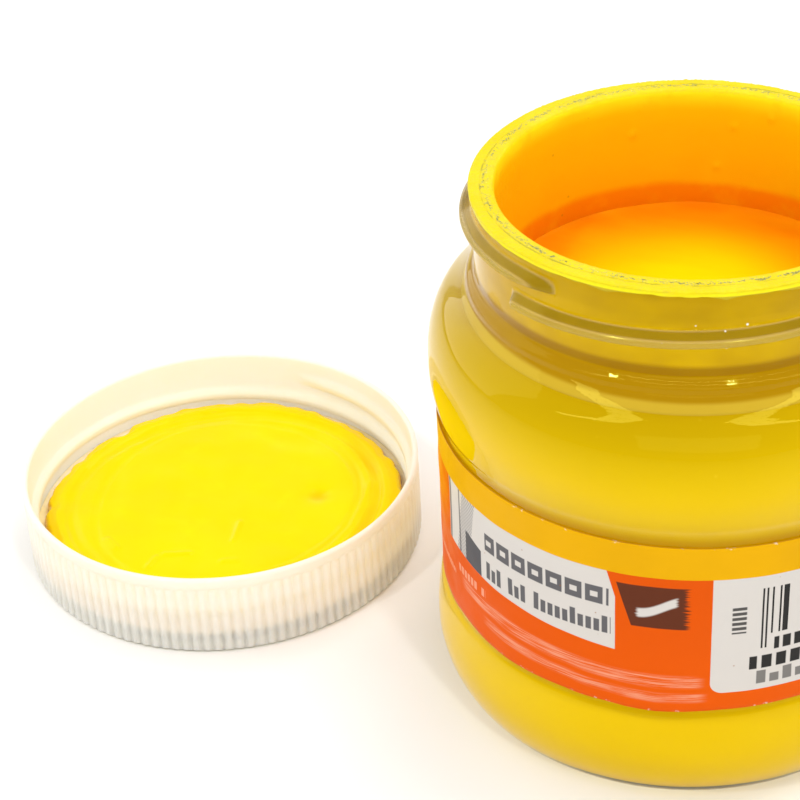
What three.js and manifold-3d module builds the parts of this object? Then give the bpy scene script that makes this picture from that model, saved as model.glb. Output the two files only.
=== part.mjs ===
// Wide-mouth paint jar with its screw cap lying upside down beside it.
// Millimetres, +Z up. The origin is on the jar's axis, at the table. The cap lies towards -X.
import * as THREE from "three";
import { mergeVertices } from "three/addons/utils/BufferGeometryUtils.js";
import Module from "manifold-3d";

const wasm = await Module();
wasm.setup();

// Driving dimensions
const GAP = 0.3; // between pieces that touch
const JAR_SEGMENTS = 48;
const CURVE_STEPS = 3;

const JAR_HEIGHT = 81.2; // to the moulded lip
const RING_RADIUS = 31.5; // the ring that the jar stands on
const RECESS_RADIUS = 26.5;
const RECESS_DEPTH = 0.6;
const BULGE_RADIUS = 37.04; // heel bulge, the widest place
const UPPER_BULGE_RADIUS = 36.93;
const PANEL_RADIUS = 35.65; // recessed band for the label
const PANEL_LOW = 17.7;
const PANEL_HIGH = 48.1;
const WALL = 1.5;
const FLOOR = 2.6;
const NECK_RADIUS = 29.8;
const NECK_LOW = 69.8;
const BORE_RADIUS = 27.4;
const BORE_LOW = 66.8; // where the bore starts to widen into the shoulder
const PAINT_LEVEL = 62.8;

const THREAD_PITCH = 4.23; // six turns to the inch
const JAR_THREAD = {
  wallRadius: NECK_RADIUS,
  // (out from the wall, up from the helix): a steep underside and a sloping upper side
  section: [
    [-0.6, -1.95],
    [1.8, -1.1],
    [1.8, -0.5],
    [0.6, 0.5],
    [-0.6, 1.1],
  ],
  turns: 376 / 360,
  startAngle: -104.9,
  startHeight: 79.2,
  steps: 48,
};

const FILM_OUTER = 30.35;
const FILM_INNER = 26.7;
const FILM_TOP = 82.0;
const FILM_UNDER = 81.6; // underside of the film where it crosses the lip
const FILM_LIP = 81.0; // lower edge of the paint that hangs over the outside
const FILM_LOW = BORE_LOW + 0.4;

const SEAL_INNER = 27.8; // ring of foil left between the lip and the film
const SEAL_OUTER = 28.7;
const SEAL_RAGGED = 0.3; // how far its torn outer edge wanders
const SEAL_THICK = 0.14;
const SEAL_LOW = 81.33;

const LABEL_THICK = 0.2;
const LABEL_LOW = 18.2;
const LABEL_HIGH = 46.4;
const LABEL_SEAM = 90; // angle of the middle of the gap between the label's ends
const LABEL_SEAM_WIDTH = 5;

const CAP_X = -80.4;
const CAP_HEIGHT = 14.4;
const CAP_RADIUS = 32.75;
const CAP_SKIRT_RADIUS = 32.3; // under the ribs
const CAP_INNER_RADIUS = 31.75;
const CAP_PLATE = 1.6;
const CAP_BAND_LOW = 12.4; // smooth band at the open rim
const CAP_CORNER = 0.8;
const CAP_SEGMENTS = 60;
const RIB_COUNT = 120;
const RIB_VALLEY = 32.45;
const RIB_LOW = 0.5;
const CAP_THREAD = {
  wallRadius: CAP_INNER_RADIUS,
  section: [
    [0.3, -1.0],
    [-1.1, -0.45],
    [-1.1, 0.45],
    [0.3, 1.0],
  ],
  turns: 1.3,
  startAngle: 95,
  startHeight: 10.45,
  steps: 60,
};

const LINER_RADIUS = 31.3;
const LINER_THICK = 1.4;
const POOL_RADIUS = 30.3;
const POOL_TOP = 6.1;

const FLAT_TURN = Math.PI / 2;
const radians = THREE.MathUtils.degToRad;

// A Manifold solid from a closed geometry.
function toSolid(geometry) {
  const bare = geometry.clone();
  bare.deleteAttribute("normal");
  bare.deleteAttribute("uv");
  const merged = mergeVertices(bare, 1e-5);
  return new wasm.Manifold(
    new wasm.Mesh({
      numProp: 3,
      vertProperties: new Float32Array(merged.attributes.position.array),
      triVerts: new Uint32Array(merged.index.array),
    }),
  );
}

// A geometry from a Manifold solid.
function toGeometry(solid) {
  const { vertProperties, triVerts } = solid.getMesh();
  const geometry = new THREE.BufferGeometry();
  geometry.setAttribute("position", new THREE.BufferAttribute(vertProperties, 3));
  geometry.setIndex(new THREE.BufferAttribute(triVerts, 1));
  geometry.computeVertexNormals();
  return geometry;
}

// A solid of revolution about Z from a path in (radius, height).
function turned(path, segments) {
  return new THREE.LatheGeometry(path.getPoints(CURVE_STEPS), segments).rotateX(FLAT_TURN);
}

// A screw thread: a straight bar of the thread's section, wrapped down round the wall as a right-hand
// helix. Its crest sinks into the wall at both ends.
function wrappedThread({ wallRadius, section, turns, startAngle, startHeight, steps }) {
  const outline = new THREE.Shape(section.map(([out, up]) => new THREE.Vector2(out, up)));
  const crest = section[1][0];
  const bar = new THREE.ExtrudeGeometry(outline, { steps, depth: 1, bevelEnabled: false });
  const places = bar.attributes.position;
  for (let i = 0; i < places.count; i++) {
    const along = places.getZ(i);
    const fromEnd = Math.min(along, 1 - along) * turns;
    const grown = Math.sin(Math.min(1, 0.12 + fromEnd / 0.045) * FLAT_TURN);
    const offset = places.getX(i);
    const radius = wallRadius + (offset * crest > 0 ? offset * grown : offset);
    const angle = radians(startAngle) - along * turns * 2 * Math.PI;
    const height = startHeight - along * turns * THREAD_PITCH + places.getY(i) * (0.4 + 0.6 * grown);
    places.setXYZ(i, radius * Math.cos(angle), radius * Math.sin(angle), height);
  }
  return bar;
}

// The outside of the jar, from the axis under the base to the lip's outer edge.
function jarOutside() {
  const path = new THREE.Path();
  path.moveTo(0, RECESS_DEPTH);
  path.lineTo(RECESS_RADIUS - 1.5, RECESS_DEPTH);
  path.lineTo(RECESS_RADIUS, 0);
  path.lineTo(RING_RADIUS, 0);
  path.bezierCurveTo(34.4, 0.5, BULGE_RADIUS, 5.0, BULGE_RADIUS, 10.0);
  path.bezierCurveTo(BULGE_RADIUS, 12.6, 36.5, 14.6, 36.15, 16.9);
  path.lineTo(PANEL_RADIUS, PANEL_LOW);
  path.lineTo(PANEL_RADIUS, PANEL_HIGH);
  path.lineTo(36.1, 48.9);
  path.bezierCurveTo(36.3, 50.6, UPPER_BULGE_RADIUS, 52.3, UPPER_BULGE_RADIUS, 54.6);
  path.bezierCurveTo(UPPER_BULGE_RADIUS, 59.3, 35.9, 62.3, 34.15, 63.9);
  path.bezierCurveTo(32.9, 65.0, 31.9, 66.2, 31.2, 67.4);
  path.quadraticCurveTo(30.7, 68.4, NECK_RADIUS, NECK_LOW);
  path.lineTo(NECK_RADIUS, JAR_HEIGHT - 0.5);
  path.quadraticCurveTo(NECK_RADIUS, JAR_HEIGHT, NECK_RADIUS - 0.5, JAR_HEIGHT);
  return path;
}

// The jar's cavity, drawn inset from its wall: down from the height given, to the axis at the floor.
function cavityDown(path, inset) {
  const inner = PANEL_RADIUS - WALL - inset;
  const bulge = BULGE_RADIUS - WALL - inset;
  path.quadraticCurveTo(27.7 - inset, 64.4, 29.3 - inset, 63.1 - inset);
  path.bezierCurveTo(32.6 - inset, 61.0 - inset, bulge, 58.6, bulge, 54.6);
  path.quadraticCurveTo(bulge, 51.0, inner, PANEL_HIGH);
  path.lineTo(inner, PANEL_LOW);
  path.quadraticCurveTo(bulge, 14.6, bulge, 10.6);
  path.bezierCurveTo(bulge, 6.4, 32.6 - inset, FLOOR + inset, 29.5, FLOOR + inset);
  path.lineTo(0, FLOOR + inset);
}

// The jar: a heavy-wall body with a recessed label panel and a threaded neck.
function jarBody() {
  const path = jarOutside();
  path.lineTo(BORE_RADIUS + 0.4, JAR_HEIGHT);
  path.quadraticCurveTo(BORE_RADIUS, JAR_HEIGHT, BORE_RADIUS, JAR_HEIGHT - 0.4);
  path.lineTo(BORE_RADIUS, BORE_LOW);
  cavityDown(path, 0);
  const body = toSolid(turned(path, JAR_SEGMENTS));
  return toGeometry(body.add(toSolid(wrappedThread(JAR_THREAD))));
}

// The paint in the jar, up to the shoulder.
function paintFill() {
  const outline = new THREE.Path();
  outline.moveTo(BORE_RADIUS, BORE_LOW);
  cavityDown(outline, GAP);
  const wall = outline.getPoints(CURVE_STEPS).filter((point) => point.y < PAINT_LEVEL - 0.4);
  const edge = new THREE.Vector2(28.8, PAINT_LEVEL);
  const middle = new THREE.Vector2(0, PAINT_LEVEL);
  const profile = [...wall.reverse(), edge, middle];
  return new THREE.LatheGeometry(profile, JAR_SEGMENTS).rotateX(FLAT_TURN);
}

// Dried paint that lines the neck, covers the lip and hangs a little over its outer edge.
function paintFilm() {
  const back = BORE_RADIUS - GAP;
  const hang = NECK_RADIUS + GAP;
  const path = new THREE.Path();
  path.moveTo(FILM_INNER, FILM_LOW);
  path.lineTo(back, FILM_LOW);
  path.lineTo(back, FILM_UNDER);
  path.lineTo(hang, FILM_UNDER);
  path.lineTo(hang, FILM_LIP);
  path.lineTo(FILM_OUTER, FILM_LIP);
  path.lineTo(FILM_OUTER, FILM_TOP - 0.35);
  path.quadraticCurveTo(FILM_OUTER, FILM_TOP, FILM_OUTER - 0.35, FILM_TOP);
  path.lineTo(FILM_INNER + 0.5, FILM_TOP);
  path.quadraticCurveTo(FILM_INNER, FILM_TOP, FILM_INNER, FILM_TOP - 0.5);
  path.lineTo(FILM_INNER, FILM_LOW);
  return turned(path, JAR_SEGMENTS);
}

// A paper label wrapped round the panel, with a narrow gap between its ends at the back.
function wrapLabel() {
  const inner = PANEL_RADIUS + GAP;
  const outer = inner + LABEL_THICK;
  const path = new THREE.Path();
  path.moveTo(inner, LABEL_HIGH);
  path.lineTo(inner, LABEL_LOW);
  path.lineTo(outer, LABEL_LOW);
  path.lineTo(outer, LABEL_HIGH);
  path.lineTo(inner, LABEL_HIGH);
  const ring = toSolid(turned(path, JAR_SEGMENTS));
  const seam = new THREE.BoxGeometry(10, LABEL_SEAM_WIDTH, LABEL_HIGH);
  seam.translate(PANEL_RADIUS, 0, (LABEL_LOW + LABEL_HIGH) / 2);
  seam.rotateZ(radians(LABEL_SEAM));
  return toGeometry(ring.subtract(toSolid(seam)));
}

// What is left of the foil seal on the lip: a flat ring with a torn outer edge.
function sealResidue() {
  const outline = new THREE.Shape();
  for (let i = 0; i < 2 * JAR_SEGMENTS; i++) {
    const angle = (i * Math.PI) / JAR_SEGMENTS;
    const torn = (Math.sin(5 * angle) + Math.sin(13 * angle + 1)) / 2;
    const radius = SEAL_OUTER + SEAL_RAGGED * torn;
    const x = radius * Math.cos(angle);
    const y = radius * Math.sin(angle);
    if (i === 0) {
      outline.moveTo(x, y);
    } else {
      outline.lineTo(x, y);
    }
  }
  outline.closePath();
  outline.holes.push(new THREE.Path().absarc(0, 0, SEAL_INNER, 0, 2 * Math.PI, true));
  const ring = new THREE.ExtrudeGeometry(outline, {
    depth: SEAL_THICK,
    bevelEnabled: false,
    curveSegments: JAR_SEGMENTS / 2,
  });
  return ring.translate(0, 0, SEAL_LOW);
}

// The ring of fine vertical ribs round the cap's skirt.
function capRibs() {
  const outline = new THREE.Shape();
  for (let i = 0; i < RIB_COUNT * 2; i++) {
    const radius = i % 2 === 0 ? CAP_RADIUS : RIB_VALLEY;
    const angle = (i * Math.PI) / RIB_COUNT;
    const x = radius * Math.cos(angle);
    const y = radius * Math.sin(angle);
    if (i === 0) {
      outline.moveTo(x, y);
    } else {
      outline.lineTo(x, y);
    }
  }
  outline.closePath();
  const hole = new THREE.Path().absarc(0, 0, CAP_INNER_RADIUS + 0.3, 0, 2 * Math.PI, true);
  outline.holes.push(hole);
  const ring = new THREE.ExtrudeGeometry(outline, {
    depth: CAP_BAND_LOW + 0.3 - RIB_LOW,
    bevelEnabled: false,
    curveSegments: CAP_SEGMENTS / 2,
  });
  return ring.translate(0, 0, RIB_LOW);
}

// The cap's shell, open side up: a plate, a ribbed skirt with a smooth rounded rim, and a thread inside.
function capShell() {
  const rimRadius = (CAP_RADIUS - CAP_INNER_RADIUS) / 2;
  const rimMiddle = CAP_INNER_RADIUS + rimRadius;
  const path = new THREE.Path();
  path.moveTo(0, 0);
  path.lineTo(CAP_SKIRT_RADIUS - CAP_CORNER, 0);
  path.quadraticCurveTo(CAP_SKIRT_RADIUS, 0, CAP_SKIRT_RADIUS, CAP_CORNER);
  path.lineTo(CAP_SKIRT_RADIUS, CAP_BAND_LOW);
  path.lineTo(CAP_RADIUS, CAP_BAND_LOW);
  path.lineTo(CAP_RADIUS, CAP_HEIGHT - rimRadius);
  path.absarc(rimMiddle, CAP_HEIGHT - rimRadius, rimRadius, 0, Math.PI, false);
  path.lineTo(CAP_INNER_RADIUS, CAP_PLATE + 0.1);
  path.lineTo(CAP_INNER_RADIUS - 0.1, CAP_PLATE);
  path.lineTo(0, CAP_PLATE);
  const shell = toSolid(turned(path, CAP_SEGMENTS));
  const ribs = toSolid(capRibs());
  const thread = toSolid(wrappedThread(CAP_THREAD));
  return toGeometry(shell.add(ribs).add(thread));
}

// The card wad that seals on the lip.
function capLiner() {
  const low = CAP_PLATE + GAP;
  const path = new THREE.Path();
  path.moveTo(0, low);
  path.lineTo(LINER_RADIUS, low);
  path.lineTo(LINER_RADIUS, low + LINER_THICK);
  path.lineTo(0, low + LINER_THICK);
  return turned(path, CAP_SEGMENTS);
}

// Paint left in the cap: a thick puddle with a rounded edge and the ring that the jar's lip pressed in it.
function capPaintPool() {
  const low = CAP_PLATE + LINER_THICK + 2 * GAP;
  const path = new THREE.Path();
  path.moveTo(0, low);
  path.lineTo(POOL_RADIUS, low);
  path.lineTo(POOL_RADIUS, POOL_TOP - 1.0);
  path.quadraticCurveTo(POOL_RADIUS, POOL_TOP, POOL_RADIUS - 1.2, POOL_TOP);
  path.quadraticCurveTo(26.6, POOL_TOP - 0.6, 24.2, POOL_TOP);
  path.lineTo(0, POOL_TOP);
  return turned(path, JAR_SEGMENTS);
}

// A named mesh with its own material.
function piece(name, geometry, colour, roughness, extra = {}) {
  const material = new THREE.MeshStandardMaterial({ color: colour, roughness, metalness: 0, ...extra });
  const mesh = new THREE.Mesh(geometry, material);
  mesh.name = name;
  return mesh;
}

const jar = new THREE.Group();
jar.add(piece("jar_body", jarBody(), 0xe8dcae, 0.08, { transparent: true, opacity: 0.35 }));
jar.add(piece("paint_fill", paintFill(), 0xfbc60a, 0.35));
jar.add(piece("paint_film", paintFilm(), 0xfff01e, 0.4));
jar.add(piece("seal_residue", sealResidue(), 0xa9ac7c, 0.6, { metalness: 0.3 }));
jar.add(piece("wrap_label", wrapLabel(), 0xee6410, 0.35));

const cap = new THREE.Group();
cap.position.set(CAP_X, 0, 0);
cap.add(piece("cap_shell", capShell(), 0xf4eee0, 0.35));
cap.add(piece("cap_liner", capLiner(), 0xfae6b4, 0.7));
cap.add(piece("cap_paint_pool", capPaintPool(), 0xfff000, 0.2));

const part = new THREE.Group();
part.add(jar, cap);

export default part;
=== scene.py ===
"""Looks of the paint jar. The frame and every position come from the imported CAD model, in metres.
Outlines are drawn in millimetres, as (radius, height) about an axis, and MM turns them into metres."""

import math

import bpy
import numpy as np
from mathutils import Matrix, Vector


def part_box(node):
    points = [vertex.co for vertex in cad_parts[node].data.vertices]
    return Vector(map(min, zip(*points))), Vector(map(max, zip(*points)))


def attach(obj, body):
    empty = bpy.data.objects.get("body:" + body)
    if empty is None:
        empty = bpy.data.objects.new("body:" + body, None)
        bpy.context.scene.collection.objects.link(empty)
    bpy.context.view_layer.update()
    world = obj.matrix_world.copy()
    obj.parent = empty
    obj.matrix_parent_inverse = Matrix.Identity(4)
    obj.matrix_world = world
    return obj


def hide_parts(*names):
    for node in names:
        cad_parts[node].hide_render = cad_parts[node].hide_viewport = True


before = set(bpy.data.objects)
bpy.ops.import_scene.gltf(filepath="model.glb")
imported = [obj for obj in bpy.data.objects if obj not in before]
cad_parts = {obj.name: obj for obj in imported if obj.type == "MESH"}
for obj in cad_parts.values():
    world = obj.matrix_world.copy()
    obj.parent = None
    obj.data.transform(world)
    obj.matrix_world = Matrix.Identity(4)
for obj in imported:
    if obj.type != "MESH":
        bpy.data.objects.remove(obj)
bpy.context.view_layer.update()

MM = 0.001
TAU = 2 * math.pi


def node_size(node):
    """A CAD node's lowest and highest corners, in millimetres."""
    low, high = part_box(node)
    return np.array(low) / MM, np.array(high) / MM


# Driving dimensions, in millimetres, read from the CAD nodes where they show them
_, JAR_TOP = node_size("jar_body")
FILM_LOW, FILM_TOP = node_size("paint_film")
_, FILL_TOP = node_size("paint_fill")
LABEL_LOW, LABEL_TOP = node_size("wrap_label")
CAP_LOW, CAP_TOP = node_size("cap_shell")
_, POOL_TOP = node_size("cap_paint_pool")
LINER_LOW, LINER_TOP = node_size("cap_liner")

LIP = JAR_TOP[2]
PAINT_LEVEL = FILL_TOP[2]
RIM_TOP = FILM_TOP[2]
BULGE = JAR_TOP[1]
UPPER_BULGE = BULGE - 0.11
WALL = 1.5
FLOOR = 2.6
PANEL = LABEL_TOP[1] - 0.2
PANEL_LOW = 17.7
PANEL_HIGH = 48.1
NECK = 29.8
NECK_LOW = 69.8
BORE = 27.4
BORE_LOW = FILM_LOW[2] - 0.4
FILM_OUTER = FILM_TOP[1]
FILM_INNER = 26.7
FILM_EDGE = 81.0  # the lower edge of the paint that hangs over the lip
PAINT_EDGE = 27.0  # where the paint meets the film on the wall
WETTED = 0.15  # how far paint is drawn into the plastic that it wets, so that no air shows between
FLECK_RING = 28.15  # the radius about which the crumbs of foil lie
CREASE = 28.7  # the radius of the worn crease in the lip's film
THREAD_PITCH = 4.23
THREAD_LOW, THREAD_HIGH = 72.9, 80.3  # the part of the neck that the thread takes up

CAP_X = (CAP_LOW[0] + CAP_TOP[0]) / 2
CAP_RADIUS = CAP_TOP[1]
CAP_HEIGHT = CAP_TOP[2]
CAP_VALLEY = 32.4
CAP_INNER = 31.75
CAP_PLATE = LINER_LOW[2] - 0.3
CAP_BAND = CAP_HEIGHT - 1.9
RIBS = 120


# ---------------------------------------------------------------- outlines

def line(start, end, step=1.0):
    """Points from start to end about a step apart, without the last."""
    start, end = np.array(start, float), np.array(end, float)
    count = max(1, round(np.linalg.norm(end - start) / step))
    return [start + (end - start) * i / count for i in range(count)]


def bend(points, count=12):
    """Points on the Bezier curve with these control points, without the last."""
    points = np.array(points, float)
    degree = len(points) - 1
    weights = [math.comb(degree, k) for k in range(degree + 1)]
    ts = np.arange(count) / count
    return list(sum(w * (1 - ts[:, None]) ** (degree - k) * ts[:, None] ** k * points[k]
                    for k, w in enumerate(weights)))


def smooth(value, low, high):
    """0 below low, 1 above high, and a smooth rise between."""
    t = np.clip((np.asarray(value, float) - low) / (high - low), 0, 1)
    return t * t * (3 - 2 * t)


def hump(value, centre, half, edge):
    """1 within half of centre, falling smoothly to 0 over the edge's width outside it."""
    return 1 - smooth(np.abs(np.asarray(value, float) - centre), half, half + edge)


def waves(theta, seed, orders, falloff=1.0):
    """A smooth random function round a circle, from the harmonics in orders, about -1 to 1."""
    rng = np.random.default_rng(seed)
    total = np.zeros_like(theta, dtype=float)
    scale = 0.0
    for order in orders:
        size = order ** -falloff
        total += size * np.sin(order * theta + rng.uniform(0, TAU))
        scale += size
    return total / scale * 1.8


def lumps(x, y, seed, size, count=24):
    """A smooth random field over a plane, with features of about this size, about -1 to 1."""
    rng = np.random.default_rng(seed)
    total = np.zeros_like(x, dtype=float)
    for _ in range(count):
        heading = rng.uniform(0, TAU)
        rate = TAU / (size * rng.uniform(0.7, 1.8))
        shift = rng.uniform(0, TAU)
        total += np.sin(rate * (x * math.cos(heading) + y * math.sin(heading)) + shift)
    return total / math.sqrt(count)


# ---------------------------------------------------------------- meshes

def made(name, verts, corners, sizes, materials, marks=None, centre=(0, 0, 0)):
    """A smooth-shaded mesh object, from points in millimetres about a centre in metres, the corners of all
    its faces in one row, how many corners each face has, and each face's material."""
    mesh = bpy.data.meshes.new(name)
    sizes = np.asarray(sizes, np.int32)
    mesh.vertices.add(len(verts))
    mesh.vertices.foreach_set("co", (np.asarray(verts) * MM + np.array(centre)).ravel().astype(np.float32))
    mesh.loops.add(len(corners))
    mesh.loops.foreach_set("vertex_index", np.asarray(corners, np.int32))
    mesh.polygons.add(len(sizes))
    mesh.polygons.foreach_set("loop_start", np.cumsum(sizes, dtype=np.int32) - sizes)
    mesh.polygons.foreach_set("use_smooth", np.ones(len(sizes), bool))
    for material in materials:
        mesh.materials.append(material)
    if marks is not None:
        mesh.polygons.foreach_set("material_index", np.asarray(marks, np.int32))
    mesh.update(calc_edges=True)
    piece = bpy.data.objects.new(name, mesh)
    bpy.context.scene.collection.objects.link(piece)
    return piece


def spun(name, rows, columns, materials, shape=None, zones=None, centre=(0, 0, 0), ring=False, span=None):
    """A solid of revolution from rows of (radius, height), anticlockwise seen with the radius to the right.
    shape(theta, radius, height) moves the points; zones gives each row's material; ring closes the rows on
    themselves; span, in radians, leaves the piece open round the axis, with flat ends."""
    rows = np.array(rows, float)
    count = len(rows)
    full = span is None
    start, end = (0, TAU) if full else span
    theta = start + (end - start) * np.arange(columns) / (columns if full else columns - 1)
    angle, radius = np.meshgrid(theta, rows[:, 0])
    _, height = np.meshgrid(theta, rows[:, 1])
    on_axis = rows[:, 0] < 1e-9
    if shape is not None:
        radius, height = shape(angle, radius, height)
    radius = np.where(on_axis[:, None], 0, radius)
    height = np.where(on_axis[:, None], height.mean(axis=1, keepdims=True), height)
    points = np.stack([radius * np.cos(angle), radius * np.sin(angle), height], -1)

    kept = np.ones((count, columns), bool)
    kept[on_axis, 1:] = False
    in_row = kept.sum(axis=1)
    index = (np.cumsum(in_row) - in_row)[:, None] + np.where(on_axis[:, None], 0, np.arange(columns))
    low = np.arange(count if ring else count - 1)
    high = (low + 1) % count
    here = np.arange(columns if full else columns - 1)
    there = (here + 1) % columns
    quads = np.stack([index[low][:, here], index[low][:, there], index[high][:, there], index[high][:, here]],
                     -1).reshape(-1, 4)
    marks = np.repeat(np.zeros(count, int)[low] if zones is None else np.array(zones)[low], len(here))
    distinct = quads != np.roll(quads, 1, axis=1)
    corners, sizes = quads[distinct], distinct.sum(axis=1)
    if not full:
        corners = np.concatenate([corners, index[:, 0], index[::-1, -1]])
        sizes = np.concatenate([sizes, [count, count]])
        marks = np.concatenate([marks, [0, 0]])
    return made(name, points[kept], corners, sizes, materials, marks, centre)


def set_place(piece, around, up):
    """Stores where each point lies on a wrapped sheet, as two attributes in millimetres."""
    for name, values in (("around", around), ("up", up)):
        attribute = piece.data.attributes.new(name, "FLOAT", "POINT")
        attribute.data.foreach_set("value", np.asarray(values, np.float32))


# ---------------------------------------------------------------- shader graphs

class Graph:
    """The node tree of one material, with short calls for the nodes used here."""

    def __init__(self, name):
        self.material = bpy.data.materials.new(name)
        self.material.use_nodes = True
        self.tree = self.material.node_tree
        self.tree.nodes.clear()
        self.out = self.tree.nodes.new("ShaderNodeOutputMaterial")

    def add(self, kind, inputs=None, **settings):
        node = self.tree.nodes.new(kind)
        for key, value in settings.items():
            setattr(node, key, value)
        for key, value in (inputs or {}).items():
            self.feed(node.inputs[key], value)
        return node

    def feed(self, socket, value):
        if isinstance(value, Value):
            value = value.socket
        if isinstance(value, bpy.types.NodeSocket):
            self.tree.links.new(value, socket)
        else:
            socket.default_value = value

    def math(self, operation, *values):
        node = self.add("ShaderNodeMath", operation=operation)
        for i, value in enumerate(values):
            self.feed(node.inputs[i], value)
        return Value(self, node.outputs[0])

    def place(self):
        return self.add("ShaderNodeTexCoord").outputs["Object"]

    def axes(self):
        """The object's own x, y and z, in metres."""
        return [Value(self, s) for s in self.add("ShaderNodeSeparateXYZ", {"Vector": self.place()}).outputs]

    def attribute(self, name):
        return Value(self, self.add("ShaderNodeAttribute", attribute_name=name).outputs["Fac"])

    def noise(self, scale, detail=3.0, rough=0.5, stretch=None, shift=0.0, vector=None):
        """Soft noise from about 0 to 1, with this many features to a metre."""
        vector = vector or self.place()
        if stretch is not None or shift:
            moved = {"Vector": vector, "Scale": stretch or (1, 1, 1), "Location": (shift, shift, shift)}
            vector = self.add("ShaderNodeMapping", moved).outputs[0]
        sizes = {"Vector": vector, "Scale": scale, "Detail": detail, "Roughness": rough}
        return Value(self, self.add("ShaderNodeTexNoise", sizes).outputs["Fac"])

    def white(self, number, seed):
        """A random number from 0 to 1 for each whole number."""
        node = self.add("ShaderNodeTexWhiteNoise", {}, noise_dimensions="1D")
        self.feed(node.inputs["W"], number + seed * 137.0)
        return Value(self, node.outputs["Value"])

    def cells(self, scale):
        """The distance to the nearest of a set of random points."""
        node = self.add("ShaderNodeTexVoronoi", {"Vector": self.place(), "Scale": scale}, feature="F1")
        return Value(self, node.outputs["Distance"])

    def ramp(self, value, low, high, start=0.0, end=1.0):
        """A smooth change from start to end as the value goes from low to high."""
        node = self.add("ShaderNodeMapRange", interpolation_type="SMOOTHSTEP")
        for key, item in (("Value", value), ("From Min", low), ("From Max", high), ("To Min", start),
                          ("To Max", end)):
            self.feed(node.inputs[key], item)
        return Value(self, node.outputs[0])

    def mix(self, share, first, second):
        node = self.add("ShaderNodeMix", data_type="RGBA")
        self.feed(node.inputs[0], share)
        for socket, colour in ((node.inputs[6], first), (node.inputs[7], second)):
            self.feed(socket, (*colour, 1.0) if isinstance(colour, tuple) else colour)
        return node.outputs[2]

    def bump(self, height, depth, strength=1.0, normal=None):
        inputs = {"Height": height, "Distance": depth, "Strength": strength}
        if normal is not None:
            inputs["Normal"] = normal
        return self.add("ShaderNodeBump", inputs).outputs[0]

    def principled(self, **inputs):
        """A Principled shader, from socket names with their spaces as underscores."""
        node = self.add("ShaderNodeBsdfPrincipled")
        for key, value in inputs.items():
            socket = node.inputs[key.replace("_", " ")]
            colour = socket.type == "RGBA" and isinstance(value, tuple)
            self.feed(socket, (*value, 1.0) if colour else value)
        return node.outputs[0]

    def blend(self, share, first, second):
        node = self.add("ShaderNodeMixShader")
        for socket, source in zip(node.inputs, (share, first, second)):
            self.tree.links.new(source, socket)
        return node.outputs[0]

    def finish(self, shader):
        self.tree.links.new(shader, self.out.inputs["Surface"])
        return self.material

    def surface(self, **inputs):
        """A material of one Principled shader."""
        return self.finish(self.principled(**inputs))


class Value:
    """A number in a shader graph that can be used in sums."""

    def __init__(self, graph, socket):
        self.graph, self.socket = graph, socket

    def __add__(self, other):
        return self.graph.math("ADD", self, other)

    def __sub__(self, other):
        return self.graph.math("SUBTRACT", self, other)

    def __mul__(self, other):
        return self.graph.math("MULTIPLY", self, other)

    __radd__, __rmul__ = __add__, __mul__

    def __truediv__(self, other):
        return self.graph.math("DIVIDE", self, other)

    def __rsub__(self, other):
        return self.graph.math("SUBTRACT", other, self)

    def __abs__(self):
        return self.graph.math("ABSOLUTE", self)

    def over(self, edge, blur=0.06):
        """1 where this is over the edge, with the blur's width of change."""
        return self.graph.ramp(self, edge - blur, edge + blur)

    def under(self, edge, blur=0.06):
        return self.graph.ramp(self, edge - blur, edge + blur, 1.0, 0.0)

    def between(self, low, high, blur=0.06):
        return self.over(low, blur) * self.under(high, blur)


def from_axis(x, y):
    """The distance from the z axis in a shader graph."""
    return x.graph.math("SQRT", x * x + y * y)


def most(*values):
    """The largest of some values in a shader graph."""
    total = values[0]
    for value in values[1:]:
        total = total.graph.math("MAXIMUM", total, value)
    return total


# ---------------------------------------------------------------- materials

def clear_plastic():
    """Thick clear plastic. Shadow rays and bounced light pass straight through it to the paint."""
    g = Graph("clear_plastic")
    ripple = g.noise(60, 2, stretch=(1, 1, 0.35))
    grit = g.noise(1400, 3)
    haze = g.ramp(g.noise(260, 4, shift=3.0), 0.45, 0.8, 0.008, 0.04)
    relief = g.bump(grit, 0.00001, 0.2, g.bump(ripple, 0.0004, 0.06))
    x, y, z = g.axes()
    radius = from_axis(x, y)
    on_neck = z.over(THREAD_LOW * MM, 0.0001)
    crest = radius.over((NECK + 1.5) * MM, 0.00015) * on_neck
    slope = radius.between((NECK + 0.3) * MM, (NECK + 1.4) * MM, 0.0002) * on_neck
    dust = g.ramp(g.cells(420), 0.05, 0.09, 1.0, 0.0) * g.ramp(g.noise(90, 2, shift=9.0), 0.5, 0.6) * on_neck
    # painted light: the thread's crest is painted a pale olive band, a painted highlight, and its slopes dark
    # olive, a painted shade, in place of what refraction shows there
    tint = g.mix(slope, g.mix(crest, (0.97, 0.965, 0.82), (0.6, 0.52, 0.16)), (0.34, 0.27, 0.02))
    tint = g.mix(dust, tint, (0.95, 0.93, 0.85))
    glass = g.principled(Base_Color=tint, Roughness=haze + crest * 0.22 + slope * 0.1, IOR=1.5,
                         Specular_Tint=(0.5, 0.5, 0.07), Normal=relief,
                         Transmission_Weight=1 - most(crest * 0.3 + slope * 0.3, dust * 0.8))
    clear = g.add("ShaderNodeBsdfTransparent", {"Color": (0.985, 0.98, 0.9, 1.0)}).outputs[0]
    path = g.add("ShaderNodeLightPath").outputs
    seen = g.blend(path["Is Diffuse Ray"], glass, clear)
    return g.finish(g.blend(path["Is Shadow Ray"], seen, clear))


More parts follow.
